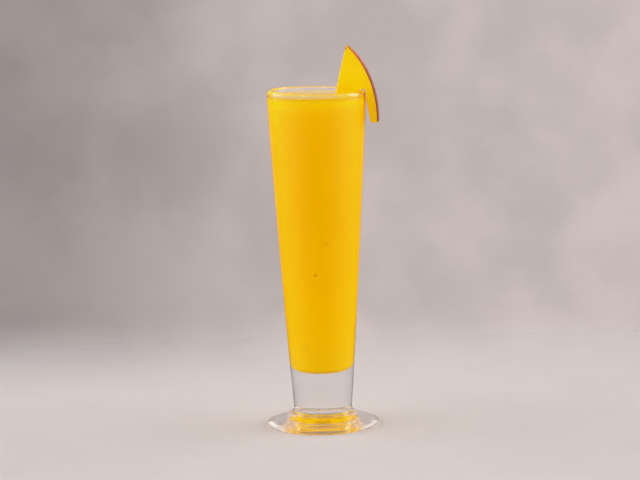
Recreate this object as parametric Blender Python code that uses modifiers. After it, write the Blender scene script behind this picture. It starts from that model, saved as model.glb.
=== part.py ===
"""A footed pilsner glass of mango lassi, with a slit slice of mango on its rim.

Three pieces, each one closed solid: the glass, turned in one piece with its solid stem and round foot; the
lassi, which fills the bowl almost to the rim; and the mango slice, which sits astride the wall. Metres, +Z up.
The origin is the middle of the foot's flat underside, and the slice hangs over the rim near +X.
"""

import math

import bmesh
import bpy
from mathutils import Matrix

MM = 0.001
TURN_STEPS = 64
GAP = 0.3  # between pieces that touch

# The glass, in millimetres: radii from the axis and heights above the table.
HEIGHT = 238.0
RIM_OUTSIDE_RADIUS = 34.5
RIM_TOP_RADIUS = 32.4  # where the rounded rim is highest
RIM_INSIDE_RADIUS = 31.1
RIM_OUTER_ROUND = 3.8  # how far the rim's rounding reaches down the outside
RIM_INNER_ROUND = 2.0
SHOULDER_RADIUS = 34.8  # the widest ring of the bowl, just below the rim
SHOULDER_HEIGHT = 231.0
BOWL_LOWER_RADIUS = 26.2  # the two pulls that give the wall its slight swell
BOWL_UPPER_RADIUS = 31.0
STEM_RADIUS = 20.7
STEM_HEIGHT = 15.0
WAIST_RADIUS = 20.45
WAIST_HEIGHT = 11.2
CREASE_RADIUS = 21.6  # where the waist meets the collar
CREASE_HEIGHT = 9.6
COLLAR_TOP_RADIUS = 23.05  # the collar is a flat-sided ring over the foot
COLLAR_TOP_HEIGHT = 9.25
COLLAR_ROUND = 1.0
COLLAR_RADIUS = 24.65
COLLAR_HEIGHT = 5.4
DISC_INNER_RADIUS = 25.6
DISC_INNER_HEIGHT = 4.4
FOOT_RADIUS = 39.4
FOOT_EDGE = 3.0  # thickness of the disc at its edge

# The bowl's inside.
CAVITY_FLOOR = 38.9
CAVITY_CORNER_HEIGHT = 43.2
CAVITY_CORNER_RADIUS = 14.5
CAVITY_FLAT_RADIUS = 6.0
CAVITY_LOWER = (22.5, 95.0)  # the two pulls that thin the wall from the base up
CAVITY_UPPER = (28.3, 170.0)
LASSI_LEVEL = 235.0

# The mango slice, in its own upright plane: distance from the glass's axis, and height.
SLICE_TURN = -5.0  # degrees round the glass from +X
SLICE_THICKNESS = 9.4  # at the skin, low down
SLICE_INNER_SHARE = 0.8  # of that thickness at the straight cut edge
SLICE_TIP_SHARE = 0.6  # of that thickness at the tip
THINNING_HEIGHT = 241.0  # above this the slice thins towards its tip
SLICE_BANDS = 5  # flat bands that carry that thinning
SLICE_EDGE_ROUND = 0.8
SLICE_TIP = (23.4, 269.5)
SLICE_BELLY = ((35.0, 259.25), (44.3, 240.0))  # the two pulls of the skin's curve
SLICE_HEEL = (43.9, 216.8)  # where the skin ends, at the cut across the slice
SLICE_CUT_HEIGHT = 215.2
HEEL_ROUND = 1.6  # how far the slice's lower corners are rounded off
SLICE_INNER_EDGE = ((21.2, 268.3), (19.2, 259.5), (14.3, 238.0))  # points down the straight cut edge
SLICE_INNER_FOOT = (10.2, 216.5)
SLIT_TOP = 238.4
SLIT_INSIDE = (29.3, 30.3)  # the slit's inner side, at the cut and at its top
SLIT_OUTSIDE = ((37.9, 216.0), (35.3, 230.5), (34.7, SLIT_TOP))  # up the outer leg's inner side


def curve(start, pull_a, pull_b, end, steps):
    """Points of a cubic curve after its start."""
    points = []
    for i in range(1, steps + 1):
        t = i / steps
        weights = ((1 - t) ** 3, 3 * (1 - t) ** 2 * t, 3 * (1 - t) * t * t, t**3)
        corners = (start, pull_a, pull_b, end)
        points.append(tuple(sum(w * p[axis] for w, p in zip(weights, corners)) for axis in (0, 1)))
    return points


def arc(centre, radius, start, end, steps):
    """Points of a round arc, its angles in degrees from the outward direction, both ends included."""
    points = []
    for i in range(steps + 1):
        angle = math.radians(start + (end - start) * i / steps)
        points.append((centre[0] + radius * math.cos(angle), centre[1] + radius * math.sin(angle)))
    return points


def rim():
    """The rounded rim's profile, from the top of the inner wall over to the top of the outer wall."""
    points = []
    for i in range(7):
        angle = math.radians(180 - 30 * i)
        outer = angle < math.radians(89)
        across = (RIM_OUTSIDE_RADIUS - RIM_TOP_RADIUS) if outer else (RIM_TOP_RADIUS - RIM_INSIDE_RADIUS)
        down = RIM_OUTER_ROUND if outer else RIM_INNER_ROUND
        points.append((RIM_TOP_RADIUS + across * math.cos(angle), HEIGHT - down * (1 - math.sin(angle))))
    return points


def glass_outside():
    """The outer profile, from the rim's outer side down to the middle of the underside."""
    lip = (RIM_OUTSIDE_RADIUS, HEIGHT - RIM_OUTER_ROUND)
    shoulder = (SHOULDER_RADIUS, SHOULDER_HEIGHT)
    stem = (STEM_RADIUS, STEM_HEIGHT)
    third = (SHOULDER_HEIGHT - STEM_HEIGHT) / 3
    waist = (WAIST_RADIUS, WAIST_HEIGHT)
    crease = (CREASE_RADIUS, CREASE_HEIGHT)
    collar_top = (COLLAR_TOP_RADIUS, COLLAR_TOP_HEIGHT)
    collar_side = (COLLAR_TOP_RADIUS + COLLAR_ROUND, COLLAR_TOP_HEIGHT - COLLAR_ROUND)
    collar = (COLLAR_RADIUS, COLLAR_HEIGHT)
    disc = (DISC_INNER_RADIUS, DISC_INNER_HEIGHT)
    edge_radius = FOOT_EDGE / 2
    edge_centre = (FOOT_RADIUS - edge_radius, edge_radius)

    points = [lip]
    points += curve(lip, (lip[0] + 0.1, lip[1] - 1.2), (shoulder[0], shoulder[1] + 1.0), shoulder, 3)
    upper = (BOWL_UPPER_RADIUS, SHOULDER_HEIGHT - third)
    lower = (BOWL_LOWER_RADIUS, STEM_HEIGHT + third)
    points += curve(shoulder, upper, lower, stem, 10)
    points += curve(stem, (stem[0] - 0.2, stem[1] - 3.0), (waist[0], waist[1] + 0.8), waist, 2)
    points += curve(waist, (waist[0], waist[1] - 0.8), (crease[0] - 0.5, crease[1] + 0.15), crease, 3)
    points.append(collar_top)
    points += curve(
        collar_top, (collar_top[0] + 0.55, collar_top[1]), (collar_side[0], collar_side[1] + 0.55), collar_side, 3
    )
    points.append(collar)
    points += curve(collar, (collar[0], collar[1] - 0.4), (disc[0] - 0.6, disc[1] + 0.1), disc, 2)
    points += arc(edge_centre, edge_radius, 90, -90, 6)
    points.append((0.0, 0.0))
    return points


def bowl_inside(inset=0.0):
    """The bowl's inner profile, from the middle of its floor up to the rim, moved in by inset."""
    corner = (CAVITY_CORNER_RADIUS - inset, CAVITY_CORNER_HEIGHT)
    floor = CAVITY_FLOOR + inset
    flat = (CAVITY_FLAT_RADIUS, floor)
    lower = (CAVITY_LOWER[0] - inset, CAVITY_LOWER[1])
    upper = (CAVITY_UPPER[0] - inset, CAVITY_UPPER[1])
    lip = (RIM_INSIDE_RADIUS - inset, HEIGHT - RIM_INNER_ROUND)
    points = [(0.0, floor), flat]
    points += curve(flat, (flat[0] + 5.5, floor), (corner[0] - 0.1, corner[1] - 2.2), corner, 5)
    points += curve(corner, lower, upper, lip, 11)
    return points


def turned(name, profile):
    """A profile in millimetres, turned round the Z axis."""
    mesh = bpy.data.meshes.new(name)
    edges = [(i, i + 1) for i in range(len(profile) - 1)]
    mesh.from_pydata([(radius * MM, 0.0, height * MM) for radius, height in profile], edges, [])
    piece = bpy.data.objects.new(name, mesh)
    screw = piece.modifiers.new("Turn", "SCREW")
    screw.axis = "Z"
    screw.steps = TURN_STEPS
    screw.render_steps = TURN_STEPS
    screw.use_merge_vertices = True
    screw.merge_threshold = 0.00001
    screw.use_normal_calculate = True
    return piece


def slice_outline(grow=0.0):
    """The slice seen from its flat side, slit included; grown, it is the room that the lassi leaves for it."""
    belly_a, belly_b = SLICE_BELLY
    inner_edge = [(x - grow, z) for x, z in SLICE_INNER_EDGE]
    foot_corner = (SLICE_INNER_FOOT[0] - grow, SLICE_INNER_FOOT[1])
    slit_foot = SLIT_INSIDE[0] + grow
    cut = SLICE_CUT_HEIGHT - grow
    points = [SLICE_TIP]
    points += curve(SLICE_TIP, belly_a, belly_b, SLICE_HEEL, 12)
    heel_end = (SLICE_HEEL[0] - HEEL_ROUND, cut)
    points += curve(SLICE_HEEL, (SLICE_HEEL[0], cut + 0.3), (heel_end[0] + 0.9, cut), heel_end, 3)
    points += [(SLIT_OUTSIDE[0][0] + HEEL_ROUND / 2, cut), *SLIT_OUTSIDE]
    points += [(SLIT_INSIDE[1] + grow, SLIT_TOP), (slit_foot, cut)]
    points += [(foot_corner[0] + HEEL_ROUND, cut), foot_corner]
    points += inner_edge[::-1]
    return points


def thickness_share(x, z):
    """How much of its full thickness the slice has: less towards its inner edge, and less towards its tip."""
    outward = (x - SLICE_INNER_FOOT[0]) / (SLICE_HEEL[0] - SLICE_INNER_FOOT[0])
    upward = max(0.0, (z - THINNING_HEIGHT) / (SLICE_TIP[1] - THINNING_HEIGHT))
    inner_share = SLICE_INNER_SHARE + (1 - SLICE_INNER_SHARE) * outward
    return inner_share * (1 - (1 - SLICE_TIP_SHARE) * upward**2)


def upright_plate(name, outline, thickness):
    """An outline in millimetres as an upright plate, thinned as the slice is, turned round the glass's axis."""
    shape = bpy.data.curves.new(name, "CURVE")
    shape.dimensions = "2D"
    shape.fill_mode = "BOTH"
    shape.extrude = thickness / 2 * MM
    spline = shape.splines.new("POLY")
    spline.points.add(len(outline) - 1)
    for point, (x, z) in zip(spline.points, outline):
        point.co = (x * MM, z * MM, 0.0, 1.0)
    spline.use_cyclic_u = True
    flat = bpy.data.objects.new(name + "_outline", shape)
    bpy.context.scene.collection.objects.link(flat)
    bpy.context.view_layer.update()
    mesh = bpy.data.meshes.new_from_object(flat.evaluated_get(bpy.context.evaluated_depsgraph_get()))
    bpy.data.objects.remove(flat)
    bpy.data.curves.remove(shape)

    build = bmesh.new()
    build.from_mesh(mesh)
    bmesh.ops.remove_doubles(build, verts=build.verts, dist=0.00001)
    one_degree = math.radians(1)
    bmesh.ops.dissolve_limit(build, angle_limit=one_degree, verts=build.verts, edges=build.edges)
    bmesh.ops.recalc_face_normals(build, faces=build.faces)
    for i in range(SLICE_BANDS):
        height = THINNING_HEIGHT + (SLICE_TIP[1] - THINNING_HEIGHT) * i / SLICE_BANDS
        everything = [*build.verts, *build.edges, *build.faces]
        across = (0.0, height * MM, 0.0)
        bmesh.ops.bisect_plane(build, geom=everything, plane_co=across, plane_no=(0.0, 1.0, 0.0))
    for vertex in build.verts:
        vertex.co.z *= thickness_share(vertex.co.x / MM, vertex.co.y / MM)
    stand_up = Matrix.Rotation(math.radians(90), 4, "X")
    round_glass = Matrix.Rotation(math.radians(SLICE_TURN), 4, "Z")
    build.transform(round_glass @ stand_up)
    build.to_mesh(mesh)
    build.free()
    mesh.name = name
    return bpy.data.objects.new(name, mesh)


def material(name, colour, roughness, transmission=0.0):
    made = bpy.data.materials.new(name)
    made.use_nodes = True
    shader = made.node_tree.nodes["Principled BSDF"]
    shader.inputs["Base Color"].default_value = (*colour, 1.0)
    shader.inputs["Roughness"].default_value = roughness
    shader.inputs["Metallic"].default_value = 0.0
    shader.inputs["Transmission Weight"].default_value = transmission
    made.diffuse_color = (*colour, 1.0)
    return made


def add(piece, collection, piece_material, smooth_angle):
    collection.objects.link(piece)
    piece.data.materials.append(piece_material)
    piece.data.shade_smooth()
    piece.data.set_sharp_from_angle(angle=math.radians(smooth_angle))


def make_glass(collection):
    profile = bowl_inside()
    profile += rim()[1:-1]
    profile += glass_outside()
    glass = turned("glass", profile)
    add(glass, collection, material("clear_glass", (0.95, 0.96, 0.95), 0.02, 1.0), 50)


def make_slice(collection):
    mango = upright_plate("mango_slice", slice_outline(), SLICE_THICKNESS)
    rounding = mango.modifiers.new("Soft edges", "BEVEL")
    rounding.width = SLICE_EDGE_ROUND * MM
    rounding.segments = 2
    rounding.limit_method = "ANGLE"
    rounding.angle_limit = math.radians(60)
    add(mango, collection, material("mango_flesh", (0.93, 0.55, 0.02), 0.4), 40)


def make_lassi(collection, cutters):
    inside = bowl_inside(GAP)
    filled = [point for point in inside if point[1] < LASSI_LEVEL - 1.0]
    above = next(point for point in inside if point[1] >= LASSI_LEVEL - 1.0)
    share = (LASSI_LEVEL - filled[-1][1]) / (above[1] - filled[-1][1])
    top_radius = filled[-1][0] + share * (above[0] - filled[-1][0])
    profile = [*filled, (top_radius, LASSI_LEVEL), (0.0, LASSI_LEVEL)]
    lassi = turned("lassi", profile)

    room = upright_plate("room_for_slice", slice_outline(GAP), SLICE_THICKNESS + 2 * GAP)
    room.hide_render = True
    room.display_type = "WIRE"
    cutters.objects.link(room)
    cut = lassi.modifiers.new("Round the slice", "BOOLEAN")
    cut.operation = "DIFFERENCE"
    cut.object = room
    add(lassi, collection, material("mango_lassi", (0.93, 0.50, 0.01), 0.45), 50)


def make_collection(name):
    made = bpy.data.collections.new(name)
    bpy.context.scene.collection.children.link(made)
    return made


for old in list(bpy.data.objects):
    bpy.data.objects.remove(old)
pieces = make_collection("glass_of_mango_lassi")
cutters = make_collection("cutters")
make_glass(pieces)
make_slice(pieces)
make_lassi(pieces, cutters)
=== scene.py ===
"""A footed pilsner glass of mango lassi with a slice of mango on its rim, dressed over its CAD solids.

The origin is the middle of the foot's underside, +Z is up, and everything is in metres.
"""

import math

import bpy
import numpy as np
from mathutils import Matrix, Vector


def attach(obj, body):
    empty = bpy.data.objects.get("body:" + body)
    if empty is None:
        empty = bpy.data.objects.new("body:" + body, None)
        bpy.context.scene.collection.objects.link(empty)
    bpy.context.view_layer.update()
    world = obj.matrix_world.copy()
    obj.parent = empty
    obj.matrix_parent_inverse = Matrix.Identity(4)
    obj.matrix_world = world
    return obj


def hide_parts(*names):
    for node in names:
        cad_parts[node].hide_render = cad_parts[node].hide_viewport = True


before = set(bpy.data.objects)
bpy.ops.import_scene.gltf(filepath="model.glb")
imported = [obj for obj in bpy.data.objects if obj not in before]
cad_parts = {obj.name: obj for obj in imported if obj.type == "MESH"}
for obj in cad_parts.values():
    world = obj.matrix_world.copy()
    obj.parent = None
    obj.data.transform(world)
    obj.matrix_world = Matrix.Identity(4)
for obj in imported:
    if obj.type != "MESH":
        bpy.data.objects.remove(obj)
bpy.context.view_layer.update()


# The glass: a tall tapering bowl on a short solid stem, with a low collar over a thin round foot.
# It is pressed and blown in one piece of clear glass, fire-polished at the rim, and its underside is
# slightly hollow, so that it stands on a narrow ring.
MM = 0.001  # sizes of pieces are in millimetres
RIM_HEIGHT = 238.0
LIP_OUTSIDE = 34.5
LIP_TOP = 32.4
LIP_INSIDE = 31.1
OUTER_ARC_FOOT = 234.2
INNER_ARC_FOOT = 236.0
LIP_LEAN = 1.2  # the fire-polished rim isn't quite level: its left side is this much higher than its right
LEAN_START = 205.0  # the wall below is level, and from here up it rises with the rim
FOOT_RADIUS = 39.4
FOOT_EDGE = 3.0
EDGE_ROUND = FOOT_EDGE / 2
EDGE_CENTRE = FOOT_RADIUS - EDGE_ROUND
ARC_PULL = 0.5523  # how far a handle reaches along a quarter of a round edge
HOLLOW_DEPTH = 7.0
BOWL_FLOOR = 38.9
TURN_STEPS = 224
GLASS_CURVE_STEPS = 14
GLASS_TINT = (0.992, 0.988, 0.962, 1)
GLASS_IOR = 1.52
# each point of a profile is the handle before it, the point and the handle after it, as radius and height
glass_profile = [
    ((0.0, HOLLOW_DEPTH), (0.0, HOLLOW_DEPTH), (12.1, HOLLOW_DEPTH)),  # the hollow under the stem
    ((19.0, 2.6), (22.0, 0.8), (25.0, 0.65)),
    ((34.2, 0.0), (37.2, 0.0), (37.4, 0.0)),  # the ring that the foot stands on
    ((37.7, 0.0), (EDGE_CENTRE, 0.0), (EDGE_CENTRE + EDGE_ROUND * ARC_PULL, 0.0)),
    (
        (FOOT_RADIUS, EDGE_ROUND * (1 - ARC_PULL)),
        (FOOT_RADIUS, EDGE_ROUND),
        (FOOT_RADIUS, EDGE_ROUND * (1 + ARC_PULL)),
    ),
    ((EDGE_CENTRE + EDGE_ROUND * ARC_PULL, FOOT_EDGE), (EDGE_CENTRE, FOOT_EDGE), (34.9, 3.36)),
    ((28.6, 4.04), (25.6, 4.4), (25.0, 4.5)),  # where the disc meets the collar
    ((24.65, 5.0), (24.65, 5.4), (24.7, 6.34)),  # the collar's side, leaning in a little
    ((24.1, 7.31), (24.05, 8.25), (24.02, 8.8)),
    ((23.6, 9.25), (23.05, 9.25), (22.45, 9.35)),  # the collar's top
    ((22.1, 9.5), (21.6, 9.6), (21.1, 9.75)),  # the crease over the collar
    ((20.45, 10.4), (20.45, 11.2), (20.45, 12.0)),  # the waist
    ((20.5, 12.0), (20.7, 15.0), (26.2, 87.0)),  # the stem, then the long wall
    ((31.0, 159.0), (34.8, 231.0), (34.85, 232.0)),  # the shoulder
    (
        (34.6, 233.0),
        (LIP_OUTSIDE, OUTER_ARC_FOOT),
        (LIP_OUTSIDE, OUTER_ARC_FOOT + (RIM_HEIGHT - OUTER_ARC_FOOT) * ARC_PULL),
    ),
    (
        (LIP_TOP + (LIP_OUTSIDE - LIP_TOP) * ARC_PULL, RIM_HEIGHT),
        (LIP_TOP, RIM_HEIGHT),
        (LIP_TOP - (LIP_TOP - LIP_INSIDE) * ARC_PULL, RIM_HEIGHT),
    ),
    (
        (LIP_INSIDE, INNER_ARC_FOOT + (RIM_HEIGHT - INNER_ARC_FOOT) * ARC_PULL),
        (LIP_INSIDE, INNER_ARC_FOOT),
        (28.3, 170.0),
    ),
    ((22.5, 95.0), (14.5, 43.2), (14.4, 41.0)),  # the corner of the bowl's floor
    ((11.5, BOWL_FLOOR), (6.0, BOWL_FLOOR), (4.0, BOWL_FLOOR)),
    ((2.0, BOWL_FLOOR), (0.0, BOWL_FLOOR), (0.0, BOWL_FLOOR)),
]


def bend_through(spline, profile, to_place):
    """Puts a curve's points and handles where the profile says, each by way of to_place."""
    for corner, (before, at, after) in zip(spline.bezier_points, profile):
        corner.handle_left_type = corner.handle_right_type = "FREE"
        corner.co = to_place(*at)
        corner.handle_left = to_place(*before)
        corner.handle_right = to_place(*after)


def close_skin(merge):
    """In edit mode: points closer than merge, in metres, become one, and the faces are turned outwards."""
    bpy.ops.mesh.select_all(action="SELECT")
    bpy.ops.mesh.remove_doubles(threshold=merge)
    bpy.ops.mesh.normals_make_consistent(inside=False)


def spin_to_shape(name, profile, curve_steps):
    """A profile of Bezier points, drawn right of the upright axis and spun round it as one closed skin."""
    bpy.ops.object.select_all(action="DESELECT")
    bpy.ops.curve.primitive_bezier_curve_add()
    piece = bpy.context.object
    piece.name = name
    piece.data.name = name
    piece.data.dimensions = "3D"
    piece.data.resolution_u = curve_steps
    spline = piece.data.splines[0]
    spline.bezier_points.add(len(profile) - len(spline.bezier_points))
    bend_through(spline, profile, lambda radius, height: (radius * MM, 0.0, height * MM))
    bpy.ops.object.convert(target="MESH")
    bpy.ops.object.mode_set(mode="EDIT")
    bpy.ops.mesh.select_all(action="SELECT")
    bpy.ops.mesh.spin(steps=TURN_STEPS, angle=math.tau, center=(0, 0, 0), axis=(0, 0, 1))
    close_skin(0.002 * MM)
    bpy.ops.object.mode_set(mode="OBJECT")
    bpy.ops.object.shade_smooth()
    return piece


def places_of(piece):
    """Where each point of a piece's mesh is, as rows of x, y and z in metres."""
    places = np.empty(len(piece.data.vertices) * 3)
    piece.data.vertices.foreach_get("co", places)
    return places.reshape(-1, 3)


def move_points(piece, places):
    piece.data.vertices.foreach_set("co", places.ravel())
    piece.data.update()


def new_material(name):
    """A node material that is still empty, and a helper that adds nodes to it and wires them."""
    made = bpy.data.materials.new(name)
    made.use_nodes = True
    tree = made.node_tree
    tree.nodes.clear()
    return made, Wiring(tree)


class Wiring:
    """Adds nodes to a tree, each with its inputs set to a value or wired to another node's output."""

    def __init__(self, tree):
        self.tree = tree

    def add(self, kind, settings=None, **inputs):
        node = self.tree.nodes.new(kind)
        for key, value in (settings or {}).items():
            setattr(node, key, value)
        for key, value in inputs.items():
            self.put(node, key.replace("_", " "), value)
        return node

    def put(self, node, socket, value):
        """Sets one input, found by its name, or by its number after the letters at."""
        socket = node.inputs[int(socket[2:]) if socket.startswith("at") else socket]
        if isinstance(value, bpy.types.NodeSocket):
            self.tree.links.new(value, socket)
        else:
            socket.default_value = value

    def maths(self, operation, *values):
        node = self.add("ShaderNodeMath", {"operation": operation})
        for i, value in enumerate(values):
            self.put(node, f"at{i}", value)
        return node.outputs[0]

    def between(self, value, low, high, to_low=0.0, to_high=1.0):
        """A smooth step from to_low, where the value is low or beyond it, to to_high, where it is high."""
        node = self.add(
            "ShaderNodeMapRange",
            {"interpolation_type": "SMOOTHSTEP"},
            Value=value,
            From_Min=low,
            From_Max=high,
            To_Min=to_low,
            To_Max=to_high,
        )
        return node.outputs[0]

    def mix(self, share, a, b):
        node = self.add("ShaderNodeMix", {"data_type": "RGBA"}, at0=share, at6=a, at7=b)
        return node.outputs[2]

    def noise(self, vector, scale, detail=2.0):
        return self.add("ShaderNodeTexNoise", Vector=vector, Scale=scale, Detail=detail).outputs[0]

    def object_place(self, scale=(1, 1, 1)):
        place = self.add("ShaderNodeTexCoord").outputs["Object"]
        return self.add("ShaderNodeMapping", Vector=place, Scale=scale).outputs[0]

    def finish(self, shader):
        out = self.add("ShaderNodeOutputMaterial")
        self.tree.links.new(shader.outputs[0], out.inputs[0])


def make_clear_glass():
    """Clear soda-lime glass with the faint lengthwise waves of pressed and blown ware."""
    made, wire = new_material("clear_glass")
    waves = wire.noise(wire.object_place(scale=(1, 1, 0.12)), scale=55.0, detail=1.0)
    bump = wire.add("ShaderNodeBump", Strength=0.06, Distance=0.002, Height=waves)
    shader = wire.add(
        "ShaderNodeBsdfPrincipled",
        Base_Color=GLASS_TINT,
        Roughness=0.0,
        IOR=GLASS_IOR,
        Transmission_Weight=1.0,
        Normal=bump.outputs[0],
    )
    wire.finish(shader)
    return made


glass = spin_to_shape("footed_glass", glass_profile, GLASS_CURVE_STEPS)
places = places_of(glass)
towards_rim = np.clip((places[:, 2] / MM - LEAN_START) / (RIM_HEIGHT - LEAN_START), 0, 1)
leaning = towards_rim**2 * (3 - 2 * towards_rim)
to_left = 0.5 - places[:, 0] / (2 * LIP_OUTSIDE * MM)
places[:, 2] += leaning * LIP_LEAN * MM * to_left**2
move_points(glass, places)
glass.data.materials.append(make_clear_glass())
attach(glass, "root")
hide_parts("glass")


# The lassi: thick blended mango and yoghurt, poured to just under the rim.
# It wets the glass all round, so its skin reaches just into the wall and no air shows between them, and
# fine bubbles and specks of fruit hang in it. Its colour is darkened towards the bottom as painted shade,
# and lightened in a band just under the surface as painted light.
INTO_WALL = 0.15
LASSI_FLOOR = BOWL_FLOOR - INTO_WALL
LASSI_LEVEL = 235.0
LEVEL_RADIUS = 31.04
MENISCUS = 0.35
LASSI_CURVE_STEPS = 24
LASSI_COLOUR = (0.93, 0.575, 0.006, 1)
PALER_LASSI_COLOUR = (0.97, 0.62, 0.008, 1)
SHADED_BOTTOM_HEIGHTS = (90.0, 42.0)  # painted shade: the lassi is darkened from the first height down to the second
LOW_PAINTED_SHADE_COLOUR = (0.885, 0.535, 0.007, 1)
LIT_BAND_DEPTHS = (11.0, 2.0)  # painted light: the lassi is lightened towards the surface, from the first depth to the second
PAINTED_LIGHT_COLOUR = (0.985, 0.62, 0.008, 1)
GLOSS_AND_SHEEN_DEPTHS = (1.0, 0.5)  # the open surface, which glistens and is paled as a painted sheen, starts here
PAINTED_SHEEN_COLOUR = (0.97, 0.61, 0.08, 1)
BUBBLE_COLOUR = (0.98, 0.67, 0.12, 1)
FINE_SPECK_COLOUR = (0.62, 0.22, 0.004, 1)
SPECK_COLOUR = (0.50, 0.17, 0.005, 1)
FRUIT_SPECKS = [  # each one's middle, its radius and how much of its colour shows
    ((-3.1, -22.55, 110.8), 1.5, 0.55),
    ((5.0, -24.4, 133.3), 1.3, 0.35),
]
lassi_profile = [
    ((0.0, LASSI_FLOOR), (0.0, LASSI_FLOOR), (2.0, LASSI_FLOOR)),
    ((4.0, LASSI_FLOOR), (6.0, LASSI_FLOOR), (11.5, LASSI_FLOOR)),
    ((14.4 + INTO_WALL, 41.0), (14.5 + INTO_WALL, 43.2), (22.5 + INTO_WALL, 95.0)),
    (
        (28.3 + INTO_WALL, 170.0),
        (LEVEL_RADIUS + INTO_WALL, LASSI_LEVEL),
        (LEVEL_RADIUS + INTO_WALL, LASSI_LEVEL),
    ),
    (
        (LEVEL_RADIUS - 0.2, LASSI_LEVEL - MENISCUS * 0.4),
        (LEVEL_RADIUS - 1.0, LASSI_LEVEL - MENISCUS),
        (LEVEL_RADIUS - 3.0, LASSI_LEVEL - MENISCUS),
    ),
    ((8.0, LASSI_LEVEL - MENISCUS), (0.0, LASSI_LEVEL - MENISCUS), (0.0, LASSI_LEVEL - MENISCUS)),
]


def new_group(name, inputs, outputs):
    """A shader node group with sockets of the kinds given, what comes in, and a helper that wires it."""
    group = bpy.data.node_groups.new(name, "ShaderNodeTree")
    for in_out, sockets in (("INPUT", inputs), ("OUTPUT", outputs)):
        for socket, kind in sockets.items():
            group.interface.new_socket(socket, in_out=in_out, socket_type=f"NodeSocket{kind}")
    wire = Wiring(group)
    return group, wire.add("NodeGroupInput").outputs, wire


def make_soft_blotches():
    """Two colours that mingle in soft blotches. Share is how much of the other colour shows."""
    group, given, wire = new_group(
        "soft_blotches",
        {
            "Place": "Vector",
            "Scale": "Float",
            "Detail": "Float",
            "Harshness": "Float",
            "One Colour": "Color",
            "Other Colour": "Color",
        },
        {"Colour": "Color", "Share": "Float"},
    )
    share = wire.add(
        "ShaderNodeTexNoise",
        Vector=given["Place"],
        Scale=given["Scale"],
        Detail=given["Detail"],
        Roughness=given["Harshness"],
    ).outputs[0]
    colour = wire.mix(share, given["One Colour"], given["Other Colour"])
    wire.add("NodeGroupOutput", Colour=colour, Share=share)
    return group


def make_fine_dots():
    """A scatter of small round dots, as a mask that rises from each dot's edge to its heart."""
    group, given, wire = new_group(
        "fine_dots",
        {"Place": "Vector", "Scale": "Float", "Edge": "Float", "Heart": "Float"},
        {"Mask": "Float"},
    )
    apart = wire.add("ShaderNodeTexVoronoi", Vector=given["Place"], Scale=given["Scale"])
    mask = wire.between(apart.outputs["Distance"], given["Edge"], given["Heart"])
    wire.add("NodeGroupOutput", Mask=mask)
    return group


def place_group(wire, group, **inputs):
    """Places a node group in a material with the values given, and returns what it puts out."""
    return wire.add("ShaderNodeGroup", {"node_tree": group}, **inputs).outputs


def make_mango_lassi():
    """Thick yellow lassi: soft clouds of colour, fine pale bubbles and a few darker specks of fruit."""
    made, wire = new_material("mango_lassi")
    place = wire.object_place()
    up = wire.add("ShaderNodeSeparateXYZ", Vector=place).outputs["Z"]
    clouds = place_group(
        wire,
        soft_blotches,
        Place=place,
        Scale=28.0,
        Detail=3.0,
        Harshness=0.5,
        One_Colour=LASSI_COLOUR,
        Other_Colour=PALER_LASSI_COLOUR,
    )
    # Painted shade: the lassi is darkened towards the bottom of the glass.
    painted_bottom_shade = wire.between(up, *(height * MM for height in SHADED_BOTTOM_HEIGHTS), 0.0, 0.95)
    colour = wire.mix(painted_bottom_shade, clouds["Colour"], LOW_PAINTED_SHADE_COLOUR)
    # Painted light: the lassi is lightened in a band just under its surface.
    painted_top_light = wire.between(up, *((LASSI_LEVEL - depth) * MM for depth in LIT_BAND_DEPTHS), 0.0, 0.9)
    colour = wire.mix(painted_top_light, colour, PAINTED_LIGHT_COLOUR)
    wet_top_and_painted_sheen = wire.between(up, *((LASSI_LEVEL - depth) * MM for depth in GLOSS_AND_SHEEN_DEPTHS))
    # Painted sheen: the open surface's colour is paled here, besides its real glossy coat.
    colour = wire.mix(wire.maths("MULTIPLY", wet_top_and_painted_sheen, 0.75), colour, PAINTED_SHEEN_COLOUR)
    gathered = wire.between(wire.noise(place, scale=90.0), 0.56, 0.74)
    bubbles = place_group(wire, fine_dots, Place=place, Scale=520.0, Edge=0.16, Heart=0.06)["Mask"]
    bubbles = wire.maths("MULTIPLY", bubbles, gathered)
    colour = wire.mix(wire.maths("MULTIPLY", bubbles, 0.35), colour, BUBBLE_COLOUR)
    fine_specks = place_group(wire, fine_dots, Place=place, Scale=95.0, Edge=0.075, Heart=0.035)["Mask"]
    colour = wire.mix(wire.maths("MULTIPLY", fine_specks, 0.45), colour, FINE_SPECK_COLOUR)
    for centre, size, strength in FRUIT_SPECKS:
        centre = tuple(axis * MM for axis in centre)
        apart = wire.add("ShaderNodeVectorMath", {"operation": "DISTANCE"}, at0=place, at1=centre)
        speck = wire.between(apart.outputs["Value"], size * MM, size * MM * 0.35, 0.0, strength)
        colour = wire.mix(speck, colour, SPECK_COLOUR)
    grain = wire.maths("MULTIPLY", wire.noise(place, scale=900.0), 0.35)
    height = wire.maths("ADD", grain, wire.maths("MULTIPLY", bubbles, -1.0))
    bump = wire.add("ShaderNodeBump", Strength=0.25, Distance=0.0003, Height=height)
    shader = wire.add(
        "ShaderNodeBsdfPrincipled",
        Base_Color=colour,
        Roughness=0.42,
        Specular_IOR_Level=0.15,
        Coat_Weight=wet_top_and_painted_sheen,
        Coat_Roughness=0.10,
        Coat_IOR=1.5,
        Normal=bump.outputs[0],
    )
    wire.finish(shader)
    return made


soft_blotches = make_soft_blotches()
fine_dots = make_fine_dots()
lassi = spin_to_shape("mango_lassi", lassi_profile, LASSI_CURVE_STEPS)
lassi.data.materials.append(make_mango_lassi())
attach(lassi, "root")
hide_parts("lassi")


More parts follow.
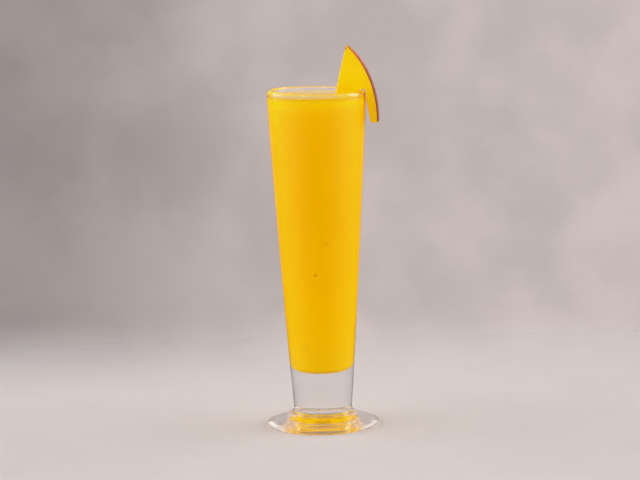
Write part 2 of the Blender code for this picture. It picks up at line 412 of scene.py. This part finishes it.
# The mango slice: a wedge cut lengthwise from a ripe mango with its skin on, slit from below and pushed over
# the wall, so that one leg stands in the lassi and the other hangs outside the glass.
# Its two cut faces are flat and fibrous, and the skin is a thin smooth rind on its curved side.
SLICE_TURN = -5.0  # degrees round the glass from its right side, towards the front
SLICE_THICKNESS = 9.4  # at the skin
SLICE_INNER_SHARE = 0.8  # how much of that is left at the inner edge
SLICE_TIP_SHARE = 0.6  # and how much at the tip
THINNING_HEIGHT = 241.0  # it thins towards the tip from this height up
CUT_HEIGHT = 215.2  # its lower end is cut off flat
SLICE_TIP = (23.4, 269.5)
SLICE_BELLY = ((35.0, 259.25), (44.3, 240.0))
SLICE_HEEL = (43.9, 216.8)
SLICE_FOOT = (10.2, 216.5)
SLICE_CURVE_STEPS = 12
SLICE_FACE_SIZE = 0.35
SOFTENING_ROUNDS = 5
SKIN_STEPS = 60
SKIN_CROWN = 0.75  # the skin is rounded from face to face by this much
CROWN_DEPTH = 4.0
CROWN_INWARDS, CROWN_DOWNWARDS = 0.85, 0.5
FIBRE_STRETCH = 6.0
FLESH_COLOUR = (0.88, 0.49, 0.004, 1)
FIBRE_COLOUR = (0.98, 0.62, 0.008, 1)
NEAR_SKIN_COLOUR = (0.80, 0.40, 0.008, 1)
STEM_END_COLOUR = (0.30, 0.11, 0.02, 1)
RIND_TIP_PAINTED_HIGHLIGHT = (0.56, 0.27, 0.06, 1)
RIND_CHANGES = [  # as shares of the way down the skin: where a colour starts to come and has come; the lighter colour at the tip is a painted highlight
    (0.06, 0.16, (0.54, 0.13, 0.05, 1)),
    (0.20, 0.50, (0.28, 0.065, 0.023, 1)),
]
MOTTLE_COLOUR = (0.36, 0.085, 0.025, 1)
LENTICEL_COLOUR = (0.72, 0.42, 0.14, 1)
RIND_DEPTHS = (0.65, 0.35)  # under the skin: only flesh from the first on, and only rind down to the second
FLESH_ROUGHNESS = 0.38
RIND_ROUGHNESS = 0.28
slice_outline = [  # as the glass's profile is, with the distance out from its axis for a radius
    ((22.3, 269.4), SLICE_TIP, SLICE_BELLY[0]),
    (SLICE_BELLY[1], SLICE_HEEL, (43.9, 215.7)),
    ((43.4, CUT_HEIGHT), (42.4, CUT_HEIGHT), (41.6, CUT_HEIGHT)),
    ((39.0, CUT_HEIGHT), (38.4, 215.4), (38.0, 215.8)),  # the slit starts
    ((36.9, 220.8), (35.4, 230.5), (35.1, 233.0)),
    ((34.9, 236.0), (34.8, 237.6), (34.8, 238.4)),
    ((34.0, 238.8), (32.3, 238.8), (31.0, 238.8)),
    ((30.3, 238.6), (30.3, 237.6), (30.2, 232.0)),
    ((29.4, 220.0), (29.3, 215.9), (29.3, CUT_HEIGHT)),  # and ends
    ((28.0, CUT_HEIGHT), (27.0, CUT_HEIGHT), (22.0, CUT_HEIGHT)),
    ((16.0, CUT_HEIGHT), (11.8, CUT_HEIGHT), (11.0, CUT_HEIGHT)),
    ((10.4, 215.7), SLICE_FOOT, (11.6, 223.5)),
    ((12.8, 231.0), (14.3, 238.0), (15.9, 245.5)),
    ((17.5, 253.0), (19.2, 259.5), (20.0, 262.8)),
    ((20.8, 266.0), (21.2, 267.9), (21.4, 268.9)),
]
bpy.ops.object.select_all(action="DESELECT")
bpy.ops.curve.primitive_bezier_circle_add()
mango_slice = bpy.context.object
mango_slice.name = "mango_slice_piece"
mango_slice.data.dimensions = "2D"
mango_slice.data.fill_mode = "BOTH"
mango_slice.data.extrude = SLICE_THICKNESS / 2 * MM
mango_slice.data.resolution_u = SLICE_CURVE_STEPS
outline = mango_slice.data.splines[0]
outline.bezier_points.add(len(slice_outline) - len(outline.bezier_points))
bend_through(outline, slice_outline, lambda outwards, height: (outwards * MM, height * MM, 0.0))
bpy.ops.object.convert(target="MESH")
bpy.ops.object.mode_set(mode="EDIT")
close_skin(0.02 * MM)
bpy.ops.object.mode_set(mode="OBJECT")
even = mango_slice.modifiers.new("Even faces", "REMESH")
even.mode = "VOXEL"
even.voxel_size = SLICE_FACE_SIZE * MM
bpy.ops.object.modifier_apply(modifier=even.name)
soften = mango_slice.modifiers.new("Soft edges", "SMOOTH")
soften.factor = 0.5
soften.iterations = SOFTENING_ROUNDS
bpy.ops.object.modifier_apply(modifier=soften.name)


def along_curve(start, pull_a, pull_b, end, steps):
    """Points evenly spread in t along one Bezier curve, as rows."""
    t = np.linspace(0.0, 1.0, steps + 1)[:, None]
    weights = ((1 - t) ** 3, 3 * (1 - t) ** 2 * t, 3 * (1 - t) * t * t, t**3)
    return sum(w * np.array([p]) for w, p in zip(weights, (start, pull_a, pull_b, end)))


def mark_points(piece, name, kind, key, values):
    """Gives each point of a piece's mesh a value, or a place, that a material can read by name."""
    marks = piece.data.attributes.new(name, kind, "POINT")
    marks.data.foreach_set(key, values.ravel())


skin_line = along_curve(SLICE_TIP, *SLICE_BELLY, SLICE_HEEL, SKIN_STEPS)
places = places_of(mango_slice) / MM
away = np.linalg.norm(places[:, None, :2] - skin_line[None], axis=2)
under_skin = away.min(axis=1)
down_skin = away.argmin(axis=1) / SKIN_STEPS
outward = np.clip((places[:, 0] - SLICE_FOOT[0]) / (SLICE_HEEL[0] - SLICE_FOOT[0]), 0, 1)
upward = np.clip((places[:, 1] - THINNING_HEIGHT) / (SLICE_TIP[1] - THINNING_HEIGHT), 0, 1)
share = SLICE_INNER_SHARE + (1 - SLICE_INNER_SHARE) * outward
share *= 1 - (1 - SLICE_TIP_SHARE) * upward**2
side = places[:, 2] / (SLICE_THICKNESS / 2)
places[:, 2] *= share
crown = SKIN_CROWN * np.clip(1 - under_skin / CROWN_DEPTH, 0, 1) * side**2
inwards = np.stack([np.full(len(places), -CROWN_INWARDS), -CROWN_DOWNWARDS * upward], axis=1)
places[:, :2] += crown[:, None] * inwards
move_points(mango_slice, places * MM)
fibre_place = np.stack([under_skin, down_skin * FIBRE_STRETCH, places[:, 2]], axis=1)
mark_points(mango_slice, "skin_depth", "FLOAT", "value", np.maximum(under_skin - crown, 0))
mark_points(mango_slice, "down_skin", "FLOAT", "value", down_skin)
mark_points(mango_slice, "fibre_place", "FLOAT_VECTOR", "vector", fibre_place)
stand_up = Matrix.Rotation(math.radians(90), 4, "X")
round_glass = Matrix.Rotation(math.radians(SLICE_TURN), 4, "Z")
mango_slice.data.transform(round_glass @ stand_up)
bpy.ops.object.shade_smooth()


def make_mango_flesh():
    """Ripe flesh with lengthwise fibres under a thin red-brown skin, told apart by the depth below it."""
    made, wire = new_material("mango_flesh")
    depth = wire.add("ShaderNodeAttribute", {"attribute_name": "skin_depth"}).outputs["Fac"]
    down = wire.add("ShaderNodeAttribute", {"attribute_name": "down_skin"}).outputs["Fac"]
    along = wire.add("ShaderNodeAttribute", {"attribute_name": "fibre_place"}).outputs["Vector"]
    place = wire.object_place()
    fibres = place_group(
        wire,
        soft_blotches,
        Place=along,
        Scale=1.4,
        Detail=4.0,
        Harshness=0.6,
        One_Colour=FLESH_COLOUR,
        Other_Colour=FIBRE_COLOUR,
    )
    near_skin = wire.mix(0.15, fibres["Colour"], NEAR_SKIN_COLOUR)
    flesh = wire.mix(wire.between(depth, 2.0, 12.0), near_skin, fibres["Colour"])
    # Painted highlight: the rind is lighter towards the tip, and it turns reddish and then darker brown
    # further down.
    rind = RIND_TIP_PAINTED_HIGHLIGHT
    for start, end, reached in RIND_CHANGES:
        rind = wire.mix(wire.between(down, start, end), rind, reached)
    mottle = wire.noise(place, scale=160.0, detail=3.0)
    rind = wire.mix(wire.between(mottle, 0.35, 0.65, 0.0, 0.5), rind, MOTTLE_COLOUR)
    lenticels = place_group(wire, fine_dots, Place=place, Scale=420.0, Edge=0.16, Heart=0.08)["Mask"]
    rind = wire.mix(wire.maths("MULTIPLY", lenticels, 0.35), rind, LENTICEL_COLOUR)
    colour = wire.mix(wire.between(depth, *RIND_DEPTHS), flesh, rind)
    at_stem_end = wire.between(down, 0.03, 0.0)
    under_rind = wire.between(depth, 0.8, 1.8, 0.0, 0.75)
    colour = wire.mix(wire.maths("MULTIPLY", at_stem_end, under_rind), colour, STEM_END_COLOUR)
    ridges = wire.maths("MULTIPLY", fibres["Share"], 0.7)
    height = wire.maths("ADD", ridges, wire.maths("MULTIPLY", mottle, 0.3))
    bump = wire.add("ShaderNodeBump", Strength=0.35, Distance=0.0006, Height=height)
    shader = wire.add(
        "ShaderNodeBsdfPrincipled",
        Base_Color=colour,
        Roughness=wire.between(depth, *RIND_DEPTHS, FLESH_ROUGHNESS, RIND_ROUGHNESS),
        Specular_IOR_Level=0.15,
        Normal=bump.outputs[0],
    )
    wire.finish(shader)
    return made


mango_slice.data.materials.append(make_mango_flesh())
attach(mango_slice, "root")
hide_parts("mango_slice")


# The table: a plain pale sheet of matt plaster, cast in one piece, with the glass standing free on it.
# Its edges fade out, and haze hides the far ones from the camera, so that it runs into the backdrop.
TABLE_SIZE = 2.6
TABLE_TOP = -0.0001  # just under the foot, so that the two never share a face
TABLE_REACH = (0.40, 0.60)  # how far from the glass it starts to fade and is gone; sideways it is twice that
HAZE_START, HAZE_END = 0.08, 0.50
PLASTER_COLOUR = (0.575, 0.530, 0.524, 1)
PALER_PLASTER_COLOUR = (0.630, 0.576, 0.568, 1)


def make_pale_plaster():
    """Brushed plaster in soft pale blotches, which fades to nothing at its edges and into the haze."""
    made, wire = new_material("pale_plaster")
    place = wire.add("ShaderNodeTexCoord").outputs["Object"]
    square = wire.add("ShaderNodeVectorMath", {"operation": "MULTIPLY"}, at0=place, at1=(0.5, 1.0, 0.0))
    square = wire.add("ShaderNodeVectorMath", {"operation": "ABSOLUTE"}, at0=square.outputs[0])
    sides = wire.add("ShaderNodeSeparateXYZ", Vector=square.outputs[0])
    reach = wire.maths("SMOOTH_MAX", sides.outputs[0], sides.outputs[1], 0.1)
    behind = wire.add("ShaderNodeSeparateXYZ", Vector=place).outputs["Y"]
    seen = wire.add("ShaderNodeLightPath").outputs["Is Camera Ray"]
    haze = wire.maths("MULTIPLY", wire.between(behind, HAZE_START, HAZE_END), seen)
    fade = wire.maths("MAXIMUM", wire.between(reach, *TABLE_REACH), haze)
    plaster = place_group(
        wire,
        soft_blotches,
        Place=place,
        Scale=14.0,
        Detail=4.0,
        Harshness=0.5,
        One_Colour=PLASTER_COLOUR,
        Other_Colour=PALER_PLASTER_COLOUR,
    )
    brushed = wire.noise(wire.object_place(scale=(1, 2.5, 1)), scale=420.0, detail=3.0)
    rough = wire.add("ShaderNodeBump", Strength=0.5, Distance=0.0006, Height=brushed)
    matt = wire.add(
        "ShaderNodeBsdfPrincipled",
        Base_Color=plaster["Colour"],
        Roughness=0.9,
        Specular_IOR_Level=0.0,
        Normal=rough.outputs[0],
    )
    gone = wire.add("ShaderNodeBsdfTransparent")
    mixed = wire.add("ShaderNodeMixShader", at0=fade, at1=matt.outputs[0], at2=gone.outputs[0])
    wire.finish(mixed)
    return made


bpy.ops.object.select_all(action="DESELECT")
bpy.ops.mesh.primitive_plane_add(size=TABLE_SIZE, location=(0, 0, TABLE_TOP))
table = bpy.context.object
table.name = "table"
table.data.materials.append(make_pale_plaster())
table.visible_glossy = False


# The light: soft boxes to the left and right of the glass and a small high one in front, in a dim room.
# Matt surfaces are lit from both sides. Clear ones look out on the plain pale wall, and mirror the room
# and its boxes.
WALL_COLOUR = (0.485, 0.423, 0.413, 1)
BOX_STRENGTH = 1.42
LAMPS = [  # degrees round from the front, up, across to where it dims and across to its rim, then strength
    (106.0, 22.0, 10.0, 22.0, 7.0),
    (-114.0, 22.0, 10.0, 22.0, 5.0),
    (-32.0, 40.0, 3.0, 9.0, 14.0),
]
world = bpy.data.worlds.new("soft_studio")
bpy.context.scene.world = world
world.use_nodes = True
world.cycles.sampling_method = "NONE"
world.node_tree.nodes.clear()
wire = Wiring(world.node_tree)
direction = wire.add("ShaderNodeTexCoord").outputs["Generated"]
towards = wire.add("ShaderNodeSeparateXYZ", Vector=direction)
rays = wire.add("ShaderNodeLightPath")
front_to_back = wire.between(towards.outputs["Y"], -0.9, 0.1, 0.3, 1.0)
above_table = wire.between(towards.outputs["Z"], -0.05, 0.08, 0.06, 1.0)
to_sides = wire.between(wire.maths("ABSOLUTE", towards.outputs["X"]), 0.3, 0.8, 1.0, 0.9)
bright_back = wire.between(towards.outputs["Y"], 0.5, 0.95, 1.0, 1.3)
over_table = wire.between(towards.outputs["Z"], -0.02, 0.15, 1.0, 0.55)
clear_view = wire.maths("MULTIPLY", wire.maths("MULTIPLY", front_to_back, to_sides), bright_back)
clear_view = wire.maths("MULTIPLY", clear_view, over_table)
straight_on = wire.between(towards.outputs["Y"], 0.6, 0.95, 0.0, 0.55)
straight_on = wire.maths("MULTIPLY", straight_on, wire.between(towards.outputs["Z"], -0.206, -0.190))
mirrored_view = wire.maths("MAXIMUM", wire.maths("MULTIPLY", front_to_back, above_table), straight_on)
room = wire.mix(rays.outputs["Is Reflection Ray"], clear_view, mirrored_view)
for around, up, bright, soft, strength in LAMPS:
    turn, rise = math.radians(around), math.radians(up)
    aim = (math.sin(turn) * math.cos(rise), -math.cos(turn) * math.cos(rise), math.sin(rise))
    facing = wire.add("ShaderNodeVectorMath", {"operation": "DOT_PRODUCT"}, at0=direction, at1=aim)
    edges = (math.cos(math.radians(soft)), math.cos(math.radians(bright)))
    glow = wire.between(facing.outputs["Value"], *edges, 0.0, strength)
    room = wire.maths("ADD", room, glow)
# The wall seen behind the glass is brighter in soft blotches.
wall_blotches = wire.noise(direction, scale=22.0, detail=5.0)
blotched_brightness = wire.between(wall_blotches, 0.3, 0.7, 1.03, 1.25)
# Painted shade: the wall seen behind the glass is darker to the left.
painted_shade_to_left = wire.between(towards.outputs["X"], -0.12, 0.02, 0.58, 1.0)
wall = wire.maths("MULTIPLY", blotched_brightness, painted_shade_to_left)
calm = wire.mix(rays.outputs["Is Camera Ray"], room, wall)
mirrored = wire.add("ShaderNodeBackground", Color=WALL_COLOUR, Strength=calm)
sideways = wire.between(wire.maths("ABSOLUTE", towards.outputs["X"]), 0.35, 0.95, 0.7, 3.0)
from_front = wire.between(towards.outputs["Y"], -0.9, 0.3, 0.7, 1.0)
from_above = wire.between(towards.outputs["Z"], 0.25, 0.95, 1.0, 0.35)
boxes = wire.maths("MULTIPLY", wire.maths("MULTIPLY", sideways, from_front), from_above)
boxes = wire.maths("MULTIPLY", boxes, BOX_STRENGTH)
lighting = wire.add("ShaderNodeBackground", Color=(1, 1, 1, 1), Strength=boxes)
after_matt = wire.maths("GREATER_THAN", rays.outputs["Diffuse Depth"], 0.5)
both = wire.add("ShaderNodeMixShader", at0=after_matt, at1=mirrored.outputs[0], at2=lighting.outputs[0])
out = wire.add("ShaderNodeOutputWorld")
wire.tree.links.new(both.outputs[0], out.inputs[0])


# The camera: on a stand 1.8 m in front of the glass with a long lens.
# It stands above the rim and looks a little down, so that the drink's surface shows as a thin oval.
CAMERA_PLACE = (0.0, -1.800, 0.395)
CAMERA_DOWN = 8.307  # degrees below level
CAMERA_ROLL = -1.25  # degrees
SENSOR_WIDTH = 36.0
PICTURE_WIDTH = 640.0  # in pixels, like the two below
FOCAL_LENGTH = 2577.0
AIM_ACROSS = 319.4  # where the glass's axis stands, from the picture's left
LIGHT_BOUNCES = 128
lens = bpy.data.cameras.new("camera")
lens.sensor_width = SENSOR_WIDTH
lens.lens = FOCAL_LENGTH * SENSOR_WIDTH / PICTURE_WIDTH
camera = bpy.data.objects.new("camera", lens)
bpy.context.scene.collection.objects.link(camera)
aside = Matrix.Rotation(-math.atan((PICTURE_WIDTH / 2 - AIM_ACROSS) / FOCAL_LENGTH), 4, "Z")
tilt = Matrix.Rotation(math.radians(90.0 - CAMERA_DOWN), 4, "X")
roll = Matrix.Rotation(math.radians(CAMERA_ROLL), 4, "Z")
camera.matrix_world = Matrix.Translation(Vector(CAMERA_PLACE)) @ aside @ tilt @ roll
bpy.context.scene.camera = camera
bpy.context.scene.view_settings.view_transform = "Standard"
bpy.context.scene.cycles.max_bounces = LIGHT_BOUNCES
bpy.context.scene.cycles.transmission_bounces = LIGHT_BOUNCES
bpy.context.scene.cycles.glossy_bounces = LIGHT_BOUNCES
bpy.context.scene.cycles.blur_glossy = 0.0
bpy.context.scene.cycles.use_denoising = True


# The finished picture: what the camera took, developed with a curve and a touch of saturation.
# The curve leaves light up to three quarters of white as it is and lets brighter light roll off gently,
# and the saturation keeps the yellows full.
FILM_CURVE = ((0.0, 0.0), (0.25, 0.25), (0.5, 0.5), (0.75, 0.75), (1.05, 0.92), (1.3, 0.97), (1.6, 1.0))
FULLNESS = 1.012
bpy.context.scene.use_nodes = True
develop = bpy.context.scene.node_tree
develop.nodes.clear()
wire = Wiring(develop)
taken = wire.add("CompositorNodeRLayers")
rolled = wire.add("CompositorNodeCurveRGB", Image=taken.outputs["Image"])
shoulder = rolled.mapping
shoulder.use_clip = False
shoulder.extend = "EXTRAPOLATED"
curve = shoulder.curves[3]
curve.points[0].location = FILM_CURVE[0]
curve.points[1].location = FILM_CURVE[-1]
for taken_light, shown_light in FILM_CURVE[1:-1]:
    curve.points.new(taken_light, shown_light)
shoulder.update()
fuller = wire.add("CompositorNodeHueSat", Image=rolled.outputs[0], Saturation=FULLNESS)
wire.add("CompositorNodeComposite", Image=fuller.outputs[0])
